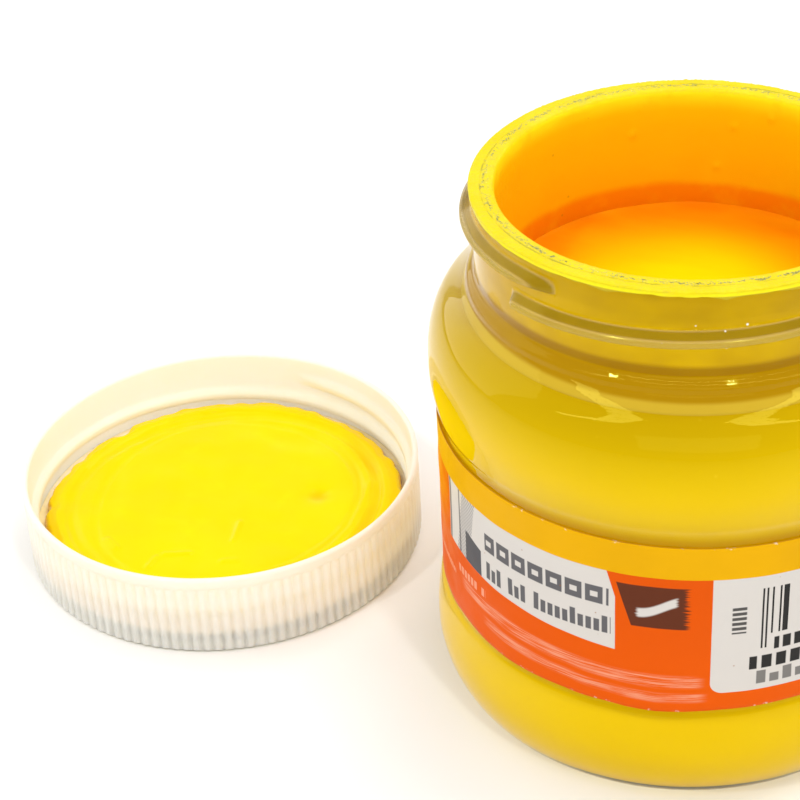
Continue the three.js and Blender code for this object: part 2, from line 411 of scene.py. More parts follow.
def wet_paint():
    """The top of the paint in the jar. It is painted deepest in colour all round its edge, under the wall:
    painted shade.
    """
    g = Graph("wet_paint")
    x, y, _ = g.axes()
    radius = from_axis(x, y)
    # painted shade: deeper orange towards the edge, under the wall
    colour = g.mix(g.ramp(radius, 0.007, PAINT_EDGE * MM), (0.93, 0.61, 0.001), (0.84, 0.22, 0.001))
    streak = g.noise(38, 4, stretch=(1, 2.4, 1))
    colour = g.mix(g.ramp(streak, 0.35, 0.7, 0.0, 0.5), colour, (0.9, 0.42, 0.002))
    skin = g.noise(120, 2)
    return g.surface(Base_Color=colour, Roughness=g.ramp(skin, 0.3, 0.7, 0.1, 0.22), Specular_IOR_Level=0.16,
                     Specular_Tint=(1.0, 0.85, 0.3), Normal=g.bump(skin, 0.0006, 0.2))


def paint_at_wall():
    """Paint that wets the plastic, so it has no shine of its own."""
    g = Graph("paint_at_wall")
    cloud = g.noise(34, 4, stretch=(1, 1, 2.0))
    z = g.axes()[2]
    colour = g.mix(g.ramp(cloud, 0.3, 0.7), (0.83, 0.55, 0.001), (0.8, 0.52, 0.001))
    # painted shade: the paint is painted darker up the shoulder
    colour = g.mix(g.ramp(z, 0.053, 0.0622), colour, (0.56, 0.365, 0.001))
    bubble = g.ramp(g.cells(330), 0.05, 0.09, 1.0, 0.0) * g.ramp(g.noise(60, 2, shift=4.0), 0.55, 0.65)
    colour = g.mix(bubble * 0.25, colour, (0.9, 0.68, 0.05))
    return g.surface(Base_Color=colour, Roughness=0.9, Specular_IOR_Level=0.0)


def dried_paint():
    """The film on the lip and down the inside of the neck."""
    g = Graph("dried_paint")
    x, y, z = g.axes()
    radius = from_axis(x, y)
    on_rim = z.over((RIM_TOP - 0.5) * MM, 0.0002)
    # painted shade: the film is painted deeper orange lower down the neck
    colour = g.mix(g.ramp(z, (RIM_TOP - 7) * MM, (RIM_TOP - 2) * MM), (0.86, 0.42, 0.001), (0.9, 0.5, 0.001))
    # painted light: the film is painted paler towards the lip, for light that comes through the wall there
    colour = g.mix(z.over(0.0705, 0.009) * 0.2, colour, (0.93, 0.76, 0.002))
    # painted light: the film is painted paler and yellower just under the rim's top
    colour = g.mix(g.ramp(z, (RIM_TOP - 3.6) * MM, (RIM_TOP - 0.3) * MM), colour, (0.93, 0.86, 0.01))
    # painted shade: deep orange at the foot, under the overhang of the bore
    colour = g.mix(z.under((BORE_LOW - 0.1) * MM, 0.0008), colour, (0.83, 0.25, 0.001))
    top = g.mix(g.ramp(g.noise(160, 3), 0.35, 0.7), (0.74, 0.6, 0.014), (0.71, 0.56, 0.006))
    olive = g.ramp(g.noise(420, 4, 0.6, shift=3.3), 0.52, 0.72) * g.ramp(g.noise(70, 2, shift=5.0), 0.4, 0.6)
    top = g.mix(olive * 0.4, top, (0.5, 0.46, 0.07))
    colour = g.mix(z.over((RIM_TOP - 0.35) * MM, 0.0003), colour, top)
    colour = g.mix(g.ramp(g.noise(240, 4, shift=6.0), 0.5, 0.8, 0.0, 0.35), colour, (0.9, 0.5, 0.003))

    # crumbs of foil show grey-green through the inner half, and fine strokes run across the outer half
    inner_half = radius.between(27.4 * MM, 28.55 * MM, 0.0002) * on_rim
    grain = g.noise(3400, 4, 0.7)
    stain = g.ramp(g.noise(640, 4, 0.65, shift=1.7), 0.42, 0.56)
    fleck = g.ramp(grain, 0.5, 0.6) * stain * (inner_half * 0.8 + on_rim * 0.2)
    colour = g.mix(fleck * 0.7, colour, (0.4, 0.38, 0.1))
    pale = g.ramp(g.noise(3000, 3, 0.7, shift=8.0), 0.6, 0.66) * stain * inner_half
    colour = g.mix(pale * 0.45, colour, (0.92, 0.88, 0.4))
    crease = radius.between((CREASE - 0.1) * MM, (CREASE + 0.1) * MM, 0.00008) * on_rim
    colour = g.mix(crease * g.ramp(g.noise(260, 3), 0.35, 0.6) * 0.75, colour, (0.36, 0.33, 0.04))
    speck = g.ramp(g.cells(170), 0.025, 0.045, 1.0, 0.0)
    colour = g.mix(speck * 0.5, colour, (0.5, 0.22, 0.01))
    # painted shadow: a dark brown line under the film's hanging edge
    under = z.under((FILM_EDGE + 0.16) * MM, 0.00012) * radius.over(NECK * MM, 0.0001)
    colour = g.mix(under * 0.7, colour, (0.42, 0.25, 0.02))
    turn = g.math("ARCTAN2", y, x)
    polar = g.add("ShaderNodeCombineXYZ", {"X": turn * 60.0, "Y": radius * 300.0, "Z": z * 300.0}).outputs[0]
    strokes = g.noise(1.0, 3, 0.6, vector=polar)
    rough = g.ramp(g.noise(700, 3), 0.3, 0.7, 0.3, 0.5)
    relief = g.bump(grain, 0.0001, 0.3, g.bump(g.noise(420, 3), 0.0002, 0.3))
    relief = g.bump((strokes - 0.5) * on_rim, 0.0003, 0.3, relief)
    return g.surface(Base_Color=colour, Roughness=rough, Specular_IOR_Level=0.16,
                     Specular_Tint=(1.0, 0.9, 0.4), Normal=relief)


def film_behind_plastic():
    """The back of the film, seen through the neck: thinner, so duller. A brown line at its root and darker
    colour under it are painted shade; its lowest part is painted pale, painted light.
    """
    g = Graph("film_behind_plastic")
    z = g.axes()[2]
    patch = g.noise(130, 4, stretch=(1, 1, 1.6))
    colour = g.mix(g.ramp(patch, 0.35, 0.68), (0.64, 0.39, 0.001), (0.56, 0.33, 0.002))
    # painted shade: darker under the neck's root, and a brown line at the root itself
    colour = g.mix(z.under(67.6 * MM, 0.0005), colour, (0.44, 0.235, 0.003))
    root = z.between(67.7 * MM, 69.6 * MM, 0.0005)
    colour = g.mix(root * 0.75, colour, (0.27, 0.11, 0.001))
    # painted light: the lowest part of the film is painted pale
    colour = g.mix(z.under(63.9 * MM, 0.0003), colour, (0.62, 0.42, 0.035))
    return g.surface(Base_Color=colour, Roughness=0.9, Specular_IOR_Level=0.0)


def seal_foil():
    """Torn foil and paper, stained by the paint over it."""
    g = Graph("seal_foil")
    colour = g.mix(g.noise(1800, 3), (0.28, 0.27, 0.08), (0.62, 0.58, 0.2))
    return g.surface(Base_Color=colour, Roughness=g.ramp(g.noise(900, 2), 0.3, 0.7, 0.35, 0.7),
                     Specular_IOR_Level=0.2, Normal=g.bump(g.noise(2400, 3), 0.0001, 0.5))


def cap_plastic():
    """White plastic that lets light into it."""
    g = Graph("cap_plastic")
    cloud = g.noise(55, 3)
    colour = g.mix(g.ramp(cloud, 0.3, 0.7), (0.88, 0.81, 0.68), (0.87, 0.79, 0.64))
    # painted light: the inside of the wall under the thread is painted paler and yellower, for the yellow
    # light the paint throws there and to lift the thread's shadow
    x, y, z = g.axes()
    inside = from_axis(x - CAP_X * MM, y).under((CAP_INNER + 0.4) * MM, 0.0002)
    colour = g.mix(inside * z.under(7.6 * MM, 0.0012), colour, (0.99, 0.95, 0.7))
    grain = g.noise(2200, 3)
    rough = g.ramp(g.noise(340, 3), 0.3, 0.7, 0.34, 0.48)
    return g.surface(Base_Color=colour, Roughness=rough, Specular_IOR_Level=0.2,
                     Normal=g.bump(grain, 0.00004, 0.4), Subsurface_Weight=0.85,
                     Subsurface_Radius=(1.0, 0.93, 0.85), Subsurface_Scale=0.006)


def liner_board():
    """The wad's faced board, stained by paint."""
    g = Graph("liner_board")
    fibre = g.noise(900, 5, stretch=(1, 3, 1))
    stain = g.ramp(g.noise(140, 3, shift=5.0), 0.42, 0.62)
    colour = g.mix(stain, (0.96, 0.87, 0.62), (0.96, 0.84, 0.46))
    colour = g.mix(g.ramp(fibre, 0.4, 0.7) * 0.25, colour, (0.85, 0.72, 0.42))
    return g.surface(Base_Color=colour, Roughness=g.ramp(fibre, 0.3, 0.7, 0.5, 0.75), Specular_IOR_Level=0.1,
                     Normal=g.bump(fibre, 0.0001, 0.4))


def cap_paint():
    """The paint left in the cap, paler where it is thin."""
    g = Graph("cap_paint")
    tone = g.noise(60, 4)
    colour = g.mix(g.ramp(tone, 0.3, 0.7), (0.9, 0.615, 0.001), (0.92, 0.66, 0.001))
    thin = g.ramp(g.noise(180, 3, shift=2.0), 0.55, 0.75, 0.0, 0.4)
    colour = g.mix(thin, colour, (0.93, 0.7, 0.002))
    # painted shade: the paint is painted oranger in its hollows
    z = g.axes()[2]
    deep = g.ramp(z, (POOL_TOP[2] - 0.32) * MM, (POOL_TOP[2] - 0.9) * MM)
    colour = g.mix(deep, colour, (0.9, 0.5, 0.001))
    skin = g.noise(150, 3, 0.45)
    rough = g.ramp(g.noise(260, 3), 0.35, 0.65, 0.1, 0.26)
    return g.surface(Base_Color=colour, Roughness=rough, Specular_IOR_Level=0.12,
                     Specular_Tint=(1.0, 0.9, 0.25), Normal=g.bump(skin, 0.0006, 0.25))


def label_print():
    """The label's print, in millimetres round the jar from its front and up from the table."""
    g = Graph("label_print")
    u, v = g.attribute("around"), g.attribute("up")
    paper = (0.66, 0.62, 0.575)
    ink = (0.1, 0.097, 0.105)
    black = (0.01, 0.01, 0.01)
    wander = (g.noise(420, 3) - 0.5) * 0.12

    # bands: yellow over orange, the orange turning paler and yellower towards the far left
    band = (v + wander * 0.5).over(41.1, 0.05)
    orange = g.mix(g.ramp(v, 20.0, 41.0), (0.77, 0.1, 0.001), (0.72, 0.09, 0.001))
    yellower_left = g.ramp(u, -98.0, -84.0, 1.0, 0.0) * g.ramp(v, 24.0, 38.0)
    orange = g.mix(yellower_left * 0.85, orange, (0.88, 0.36, 0.002))
    mottle = g.ramp(g.noise(90, 4, shift=7.0), 0.35, 0.7)
    colour = g.mix(band, orange, g.mix(mottle, (0.79, 0.41, 0.001), (0.75, 0.385, 0.001)))

    # left panel: its foot rises to the left and its right edge leans
    lean = g.math("MAXIMUM", v - 37.0, 0.0) * 0.3
    panel = u.over(-86.6) * (u + lean).under(-53.4) * v.under(41.1, 0.05) * (v + u * 0.0813).over(23.56)
    colour = g.mix(panel, colour, paper)
    # upright bars, a patch of slanting hatching and a solid block stand at its left
    hatch = g.math("SINE", (u * 0.9 + v) * 8.5).over(0.0, 0.5)
    hatched = (u - v * 0.2).between(-89.8, -86.2) * 0.75
    solid = u.between(-80.9, -76.6) * (v + (u + 78.8) * 0.25).under(34.8)
    posts = most(u.between(-86.5, -85.8), u.between(-82.9, -82.45))
    colour = g.mix(hatched * hatch * panel, colour, (0.16, 0.16, 0.17))
    colour = g.mix(most(solid, posts * 0.8) * panel, colour, ink)
    # two rows of bars stand for words
    upper = word_row(g, u, v, 21, -75.6, -54.3, 35.2, 3.05, (2.9, 2.9), 0.84)
    slot = word_row(g, u, v, 21, -75.6, -54.3, 36.2, 3.05, (0.9, 0.9), 0.36)
    lower = word_row(g, u, v, 5, -75.8, -54.0, 30.4, 1.18, (2.1, 2.9))
    colour = g.mix(most(upper - slot, lower) * panel * 0.95, colour, ink)

    # middle: a brown swatch with a dry right edge, and a plain pale swash across it
    bristle = g.noise(0.9, 4, 0.6, vector=stretched(g, u, v, 0.15, 4.2))
    ragged = u + (bristle - 0.5) * 3.4
    patch = (u + (v - 36.0) * 0.3).over(-52.2) * ragged.under(-43.6, 0.4) * v.between(32.6, 39.6, 0.1)
    colour = g.mix(patch * 0.97, colour, (0.105, 0.03, 0.014))
    sweep = g.math("SINE", (u + 47.0) * 0.5) * 1.2
    swash = abs(v - 36.2 - sweep).under(0.75, 0.2) * (u + (bristle - 0.5)).between(-50.4, -45.0, 0.3)
    colour = g.mix(swash * patch, colour, paper)

    # right panel: rounded lower corners, stripes and short bars in place of print
    right_panel = rounded(g, u, v, -40.3, -2.5, 21.3, 45.0, 1.8) * v.under(41.1, 0.05)
    colour = g.mix(right_panel, colour, paper)
    module = g.white(g.math("FLOOR", u * 3.7), 4.0).over(0.5, 0.001)
    stripes = v.between(31.0, 39.0, 0.05) * u.between(-32.4, -8.0, 0.02) * module
    guards = v.between(28.6, 39.0, 0.05) * abs(abs(u + 20.1) - 13.0).between(0.15, 0.42, 0.04)
    rungs = g.math("SINE", v * 7.4).over(-0.35, 0.3)
    small = v.between(31.6, 36.4, 0.08) * u.between(-37.6, -35.6, 0.1) * rungs
    marks = most(stripes, guards, small * 0.9, word_row(g, u, v, 8, -31.6, -8.6, 28.1, 1.7, (2.1, 2.1)),
                 word_row(g, u, v, 9, -35.0, -12.0, 25.0, 2.1, (2.3, 2.3)),
                 word_row(g, u, v, 10, -34.4, -15.5, 22.3, 1.9, (1.5, 2.3)) * 0.72)
    colour = g.mix(marks * right_panel * 0.97, colour, black)

    # two groups of pale streaks along the foot, and small pale dashes on the left
    dry = g.ramp(bristle, 0.36, 0.66)
    for low, high, left, right in ((22.4, 24.4, -82.0, -41.6), (19.9, 21.3, -76.0, -41.2)):
        drift = v - g.ramp(u, -84.0, -46.0, 1.6, 0.0)
        group = drift.between(low, high, 0.35) * u.between(left, right, 0.9)
        colour = g.mix(group * dry * 0.6, colour, (0.88, 0.48, 0.32))
    dashes = most(word_row(g, u, v, 14, -83.6, -75.8, 26.3, 0.95, (1.4, 1.4)),
                  word_row(g, u, v, 15, -96.0, -85.0, 24.4, 0.7, (0.9, 1.1)))
    colour = g.mix(dashes * 0.5, colour, (0.9, 0.55, 0.38))

    # wear: pale chips along the edges and small dark specks; and a painted shadow, a thin dark line along the
    # top edge
    edge = most(v.over(46.05, 0.12), v.under(18.5, 0.12))
    chip = g.ramp(g.noise(900, 3, 0.7), 0.6, 0.68) * edge
    colour = g.mix(chip * 0.7, colour, (0.85, 0.78, 0.66))
    # painted shadow: a thin dark line along the label's top edge
    colour = g.mix(v.over(46.3, 0.04) * 0.5, colour, (0.3, 0.1, 0.01))
    speck = g.ramp(g.cells(230), 0.02, 0.04, 1.0, 0.0)
    colour = g.mix(speck * 0.5, colour, (0.35, 0.12, 0.01))
    rough = g.ramp(g.noise(300, 3), 0.3, 0.7, 0.3, 0.46)
    relief = g.bump(g.noise(1500, 4), 0.00006, 0.3, g.bump(g.noise(110, 2), 0.0003, 0.15))
    return g.surface(Base_Color=colour, Roughness=rough, Specular_IOR_Level=0.05, Normal=relief)


def stretched(g, u, v, along, across):
    """A texture place that runs slowly round the jar and quickly up it."""
    return g.add("ShaderNodeCombineXYZ", {"X": u * along, "Y": v * across, "Z": 0.0}).outputs[0]


def rounded(g, u, v, left, right, low, high, corner):
    """1 inside a rectangle with rounded corners, and 0 outside."""
    across = g.math("MAXIMUM", abs(u - (left + right) / 2) - ((right - left) / 2 - corner), 0.0)
    up = g.math("MAXIMUM", abs(v - (low + high) / 2) - ((high - low) / 2 - corner), 0.0)
    return g.math("SQRT", across * across + up * up).under(corner, 0.05)


def word_row(g, u, v, seed, start, end, foot, pitch, heights, fill=0.7):
    """A row of upright bars, one to each pitch, short or tall by chance, with a space here and there."""
    chance = g.white(g.math("FLOOR", u / pitch), seed)
    top = foot + heights[0] + chance.over(0.66, 0.001) * (heights[1] - heights[0])
    inside = abs(g.math("FRACT", u / pitch) - 0.5).under(fill / 2, 0.07 / pitch)
    shown = inside * (v - foot).over(0, 0.08) * (v - top).under(0, 0.08) * u.between(start, end, 0.02)
    return shown * chance.over(0.1, 0.001)


# ---------------------------------------------------------------- the jar

def jar_outside():
    """The outside of the jar, up from the axis under the base to the lip."""
    rows = line((0, 0.6), (24.5, 0.6), 6)
    rows += bend([(24.5, 0.6), (25.6, 0.6), (25.8, 0.0), (27.0, 0.0)], 5)
    rows += line((27.0, 0.0), (31.0, 0.0), 2)
    rows += bend([(31.0, 0.0), (34.3, 0.35), (BULGE, 4.9), (BULGE, 10.0)], 16)
    rows += bend([(BULGE, 10.0), (BULGE, 12.6), (36.55, 14.6), (36.3, 16.7)], 7)
    rows += bend([(36.3, 16.7), (36.2, 17.5), (PANEL, 17.5), (PANEL, 18.4)], 6)
    rows += line((PANEL, 18.4), (PANEL, 47.2), 6)
    rows += bend([(PANEL, 47.2), (PANEL, 48.6), (36.15, 48.6), (36.3, 49.5)], 6)
    rows += bend([(36.3, 49.5), (36.5, 50.7), (UPPER_BULGE, 52.3), (UPPER_BULGE, 54.6)], 6)
    rows += bend([(UPPER_BULGE, 54.6), (UPPER_BULGE, 59.3), (35.95, 62.3), (34.15, 63.95)], 12)
    rows += bend([(34.15, 63.95), (33.2, 64.85), (32.2, 65.8), (31.5, 66.55)], 5)
    rows += bend([(31.5, 66.55), (31.2, 66.85), (31.05, 67.0), (31.05, 67.35)], 5)
    rows += bend([(31.05, 67.35), (31.05, 67.9), (30.9, 68.1), (30.55, 68.4)], 4)
    rows += bend([(30.55, 68.4), (30.15, 68.75), (NECK, 68.9), (NECK, 69.9)], 6)
    rows += line((NECK, 69.9), (NECK, THREAD_LOW), 0.6)
    rows += line((NECK, THREAD_LOW), (NECK, THREAD_HIGH), 0.16)
    rows += bend([(NECK, THREAD_HIGH), (NECK, LIP), (NECK, LIP), (NECK - 0.5, LIP)], 4)
    return rows


def cavity(inset=0.0):
    """The inside of the jar, down from the bore to the axis at the floor, drawn in by the inset."""
    inner, bulge = 35.65 - WALL - inset, BULGE - WALL - inset
    shoulder = (29.3 - inset, 63.1 - inset)
    rows = line((BORE - inset, LIP - 0.4), (BORE - inset, BORE_LOW), 4)
    rows += bend([(BORE - inset, BORE_LOW), (27.7 - inset, 64.4), shoulder], 8)
    rows += bend([shoulder, (32.6 - inset, 61.0 - inset), (bulge, 58.6), (bulge, 54.6)], 12)
    rows += bend([(bulge, 54.6), (bulge, 51.0), (inner, PANEL_HIGH)], 6)
    rows += line((inner, PANEL_HIGH), (inner, PANEL_LOW), 8)
    rows += bend([(inner, PANEL_LOW), (bulge, 14.6), (bulge, 10.6)], 6)
    rows += bend([(bulge, 10.6), (bulge, 6.4), (32.6 - inset, FLOOR + inset), (29.5, FLOOR + inset)], 10)
    rows += line((29.5, FLOOR + inset), (0, FLOOR + inset), 6)
    return rows + [np.array([0, FLOOR + inset])]


def cavity_radius(height):
    """The cavity's radius at a height in the shoulder or the neck."""
    rows = np.array([p for p in cavity() if p[1] > 54.6])
    order = np.argsort(rows[:, 1])
    return np.interp(height, rows[order, 1], rows[order, 0])


def jar_thread(theta, height):
    """How far the thread stands out of the neck: a right-hand ridge, steep below and sloping above. It runs
    in slowly at the top and ends short below."""
    start, top, length = math.radians(-104.9), 79.2, 376
    rise = np.zeros_like(theta)
    for lap in (0, 360):
        along = np.degrees(np.mod(start - theta, TAU)) + lap
        middle = top - along / 360 * THREAD_PITCH
        ridge = np.interp(height - middle, [-1.75, -1.15, -0.95, -0.6, -0.4, 0.5, 0.95],
                          [0, 1.6, 1.8, 1.8, 1.7, 0.6, 0])
        run_in = np.interp(along, [0, 0.8, 4.1, 9.6, 13.1], [0, 0.2, 0.56, 0.9, 1])
        run_out = np.sqrt(np.clip((length - along) / 3.0, 0, 1))
        rise = np.maximum(rise, ridge * run_in * run_out * (along < length))
    return rise


def build_jar():
    """The clear jar, one closed shell with its thread, its lip and its inside."""
    outside = jar_outside()
    lip = line((NECK - 0.5, LIP), (BORE + 0.4, LIP), 1)
    inside = bend([(BORE + 0.4, LIP), (BORE, LIP), (BORE, LIP - 0.4)], 3) + cavity()

    def shape(theta, radius, height):
        outer = np.arange(len(radius))[:, None] < len(outside)
        neck = outer & (height > 70.5)
        sway = 0.035 * (waves(theta, 5, (2, 3, 5)) - 1.8) + 0.02 * (lumps(theta * 30, height, 8, 14) - 2)
        swayed = sway * smooth(radius, 31, 33) * smooth(height, 1, 4)
        return radius + np.where(neck, jar_thread(theta, height), 0) + np.where(outer, swayed, 0), height

    jar = spun("clear_jar", outside + lip + inside, 480, [clear_plastic()], shape)
    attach(jar, "jar")
    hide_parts("jar_body")


def build_paint():
    """The paint in the jar. Its top climbs a little where it meets the film."""
    wall = [p for p in cavity(-WETTED) if p[1] < PAINT_LEVEL]
    top_radius = float(cavity_radius(PAINT_LEVEL)) + WETTED
    surface = line((top_radius, PAINT_LEVEL), (PAINT_EDGE + 0.3, PAINT_LEVEL), 0.5)
    surface += line((PAINT_EDGE + 0.3, PAINT_LEVEL), (PAINT_EDGE - 2.4, PAINT_LEVEL), 0.18)
    surface += line((PAINT_EDGE - 2.4, PAINT_LEVEL), (0, PAINT_LEVEL), 0.8) + [np.array([0, PAINT_LEVEL])]
    rows = wall[::-1] + surface
    zones = [0 if i < len(wall) or row[0] > PAINT_EDGE + 1 else 1 for i, row in enumerate(rows)]

    def shape(theta, radius, height):
        free = np.arange(len(radius))[:, None] >= len(wall)
        x, y = radius * np.cos(theta), radius * np.sin(theta)
        swell = 0.1 * lumps(x, y, 3, 22) * smooth(PAINT_EDGE - radius, 0.5, 4)
        climb = 0.6 + 0.12 * waves(theta, 33, (3, 5, 8, 13), 0.3)
        climb = climb * np.exp(-np.maximum(PAINT_EDGE - radius, 0) / 0.8)
        climb = climb * smooth(top_radius - radius, 0.2, 1)
        return radius, height + np.where(free, swell + climb, 0)

    paint = spun("jar_paint", rows, 300, [paint_at_wall(), wet_paint()], shape, zones)
    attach(paint, "jar")
    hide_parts("paint_fill")


# Drips from the lip: bearing in degrees, drop in mm, half width in degrees
DRIPS = ((-91, 0.35, 2), (-62, 0.3, 1.6), (-44, 0.35, 2), (40, 0.4, 3), (155, 0.3, 3))
# Bumps in the film: bearing in degrees, height in mm
BUMPS = ((96, 76.4), (84, 78.6), (128, 75.2), (101, 69.6))


def turned(theta, degrees):
    """Angles from a bearing, within half a turn."""
    return np.mod(theta - math.radians(degrees) + math.pi, TAU) - math.pi


def build_film():
    """Paint on the lip: it hangs in a ragged edge outside and runs down the neck to the paint inside."""
    foot = PAINT_LEVEL - 0.25
    hang = NECK - 0.02
    outer = line((FILM_OUTER, FILM_EDGE), (FILM_OUTER, RIM_TOP - 0.45), 0.11)
    outer += bend([(FILM_OUTER, RIM_TOP - 0.45), (FILM_OUTER, RIM_TOP), (FILM_OUTER - 0.5, RIM_TOP)], 6)
    top = line((FILM_OUTER - 0.5, RIM_TOP), (FILM_INNER + 0.8, RIM_TOP), 0.08)
    top += bend([(FILM_INNER + 0.8, RIM_TOP), (FILM_INNER + 0.25, RIM_TOP), (FILM_INNER, RIM_TOP - 0.3),
                 (FILM_INNER, RIM_TOP - 1.2)], 12)
    inner = line((FILM_INNER, RIM_TOP - 1.2), (FILM_INNER, BORE_LOW - 0.6), 0.5)
    inner += bend([(FILM_INNER, BORE_LOW - 0.6), (FILM_INNER, BORE_LOW - 2.2), (PAINT_EDGE, foot)], 12)
    soaked = WETTED * 0.5
    back = [np.array([float(cavity_radius(foot)) + soaked, foot])]
    back += [p for p in cavity(-soaked)[::-1] if foot + 0.1 < p[1] < BORE_LOW]
    back += line((BORE + soaked, BORE_LOW + 0.6), (BORE + soaked, LIP - 0.05), 4)
    back += line((BORE + soaked, LIP - 0.05), (hang, LIP - 0.05), 0.8)
    back += [np.array([hang, LIP - 0.05]), np.array([hang, FILM_EDGE])]
    rows = outer + top + inner + back
    shown = len(outer) + len(top) + len(inner)
    zones = [0 if i < shown else 1 for i in range(len(rows))]

    def shape(theta, radius, height):
        arc = 28.4 * theta
        on_top = smooth(height, RIM_TOP - 0.3, RIM_TOP - 0.02)
        crease = 0.14 * hump(radius, CREASE + 0.06 * waves(theta, 4, (3, 4, 7)), 0.03, 0.1)
        scuff = 0.03 * lumps(arc, radius * 0.8, 11, 0.8) + 0.025 * lumps(arc * 0.3, radius * 2, 12, 1.2)
        worn = 0.12 * smooth(lumps(arc, radius, 13, 3.4), 0.6, 1.6) * smooth(CREASE - radius, 0, 0.4)
        strokes = 0.04 * lumps(arc * 3, radius * 0.6, 17, 1.4) * smooth(radius, CREASE, CREASE + 0.4)
        height = height - on_top * (crease + worn + 0.05) + on_top * (scuff + strokes)
        outside = radius > FILM_OUTER - 0.04
        ragged = 0.12 * waves(theta, 21, (5, 9, 14, 23, 31), 0.3) - 0.05
        ragged = ragged + 0.05 * waves(theta, 22, (47, 61), 0)
        for degrees, deep, wide in DRIPS:
            ragged = ragged + deep * np.exp(-(np.degrees(turned(theta, degrees)) / wide) ** 2)
        low = smooth(-height, -81.5, -FILM_EDGE)
        sag = ragged * low * (radius > hang - 0.1) * (height > NECK_LOW)
        bulge = np.where(outside, 0.04 * waves(theta, 23, (7, 12, 19, 29), 0.5) - 0.05 - 0.1 * low, 0)
        wall = (radius < BORE - 0.3) & (height < RIM_TOP - 1.6) & (height > BORE_LOW)
        run = 0.08 * lumps(arc, height * 0.5, 31, 9) * wall
        for degrees, level in BUMPS:
            off = FILM_INNER * turned(theta, degrees)
            run = run - 0.25 * np.exp(-(off ** 2 + (height - level) ** 2) / 0.25) * wall
        return radius + bulge + run, np.minimum(height - sag, RIM_TOP)

    film = spun("lip_film", rows, 720, [dried_paint(), film_behind_plastic()], shape, zones, ring=True)
    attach(film, "jar")
    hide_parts("paint_film")


def build_flecks():
    """Torn crumbs of the foil seal, showing through the film on the inner half of the lip."""
    rng = np.random.default_rng(77)
    verts, corners, sizes = [], [], []
    clusters = rng.uniform(0, TAU, 190)
    for _ in range(1500):
        angle = rng.choice(clusters) + rng.normal(0, 0.03)
        radius = FLECK_RING + rng.normal(0, 0.17)
        if not 27.75 < radius < 28.6:
            continue
        size = rng.uniform(0.03, 0.11)
        stretch = rng.uniform(1.0, 2.4)
        sides = int(rng.integers(5, 8))
        turn = angle + rng.normal(0, 0.6)
        first = len(verts)
        for level in (RIM_TOP - 0.2, RIM_TOP - 0.03):
            for k in range(sides):
                a = TAU * k / sides
                reach = size * rng.uniform(0.7, 1.2)
                du, dv = reach * stretch * math.cos(a), reach * 0.7 * math.sin(a)
                x = radius * math.cos(angle) - du * math.sin(turn) + dv * math.cos(turn)
                y = radius * math.sin(angle) + du * math.cos(turn) + dv * math.sin(turn)
                verts.append([x, y, level])
        lower = list(range(first, first + sides))
        upper = list(range(first + sides, first + 2 * sides))
        corners += lower[::-1] + upper
        sizes += [sides, sides] + [4] * sides
        for k in range(sides):
            n = (k + 1) % sides
            corners += [lower[k], lower[n], upper[n], upper[k]]
    flecks = made("seal_flecks", verts, corners, sizes, [seal_foil()])
    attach(flecks, "jar")
    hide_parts("seal_residue")


def build_label():
    """A paper label with its print. A gap parts its ends at the back, and its foot is a little wrinkled."""
    low, high = LABEL_LOW[2], LABEL_TOP[2]
    inner, outer = PANEL + 0.01, PANEL + 0.17
    columns = 900
    gap = math.radians(4.0)
    span = (math.radians(90 - 360) + gap, math.radians(90) - gap)
    rows = [np.array([inner, high]), np.array([inner, low]), np.array([outer - 0.03, low])]
    rows += line((outer, low + 0.03), (outer, high - 0.03), 0.7) + [np.array([outer, high - 0.03])]
    rows += [np.array([outer - 0.03, high])]

    def shape(theta, radius, height):
        share = (height - low) / (high - low)
        tilt = -0.45 * np.cos(theta) * share
        turn = np.degrees(np.mod(theta + math.pi, TAU) - math.pi)
        foot = np.interp(turn, [-180, -150, -133, -114, -97, -82.6, -76, -66, -56, -46, 0, 90, 180],
                         [0.3, 0.9, 1.0, 0.16, 0.28, -0.23, -0.38, 0, 0.1, 0.13, 0, 0.2, 0.3])
        wrinkle = (foot + 0.05 * waves(theta, 9, (11, 17, 26, 39), 0.4)) * (1 - share) ** 4
        blister = 0.035 * (lumps(theta * 36, height, 14, 7) - 1) * (radius > PANEL + 0.1)
        curl = 0.1 * smooth(height, high - 0.5, high) * smooth(waves(theta, 2, (2, 3, 5)), 0.1, 0.9)
        return radius + blister + curl, height + tilt + wrinkle

    label = spun("printed_label", rows, columns, [label_print()], shape, ring=True, span=span)
    theta = np.linspace(span[0], span[1], columns)
    around = np.tile(theta * outer, len(rows))
    up = np.repeat([row[1] for row in rows], columns)
    set_place(label, around, up)
    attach(label, "jar")
    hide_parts("wrap_label")


# ---------------------------------------------------------------- the cap

CAP_CENTRE = (CAP_X * MM, 0, 0)


def rib(theta):
    """Round-topped ribs: 1 on a rib and 0 in a groove."""
    return smooth(np.cos(RIBS * theta) * 0.5 + 0.5, 0.08, 0.7)


def cap_thread(theta, height):
    """How far the internal thread stands in from the skirt."""
    turn, start, top = math.radians(468), math.radians(95), 10.45
    rise = np.zeros_like(theta)
    for lap in (0, TAU):
        along = np.mod(start - theta, TAU) + lap
        middle = top - along / TAU * THREAD_PITCH
        left = np.clip(np.minimum(along, turn - along) / math.radians(14), 0, 1)
        grown = np.sin(left * math.pi / 2) * (along < turn)
        rise = np.maximum(rise, hump(height, middle - 0.2, 0.45, 0.9) * grown)
    return 1.05 * rise * smooth(height, LINER_TOP[2] + 0.65, LINER_TOP[2] + 1.3)


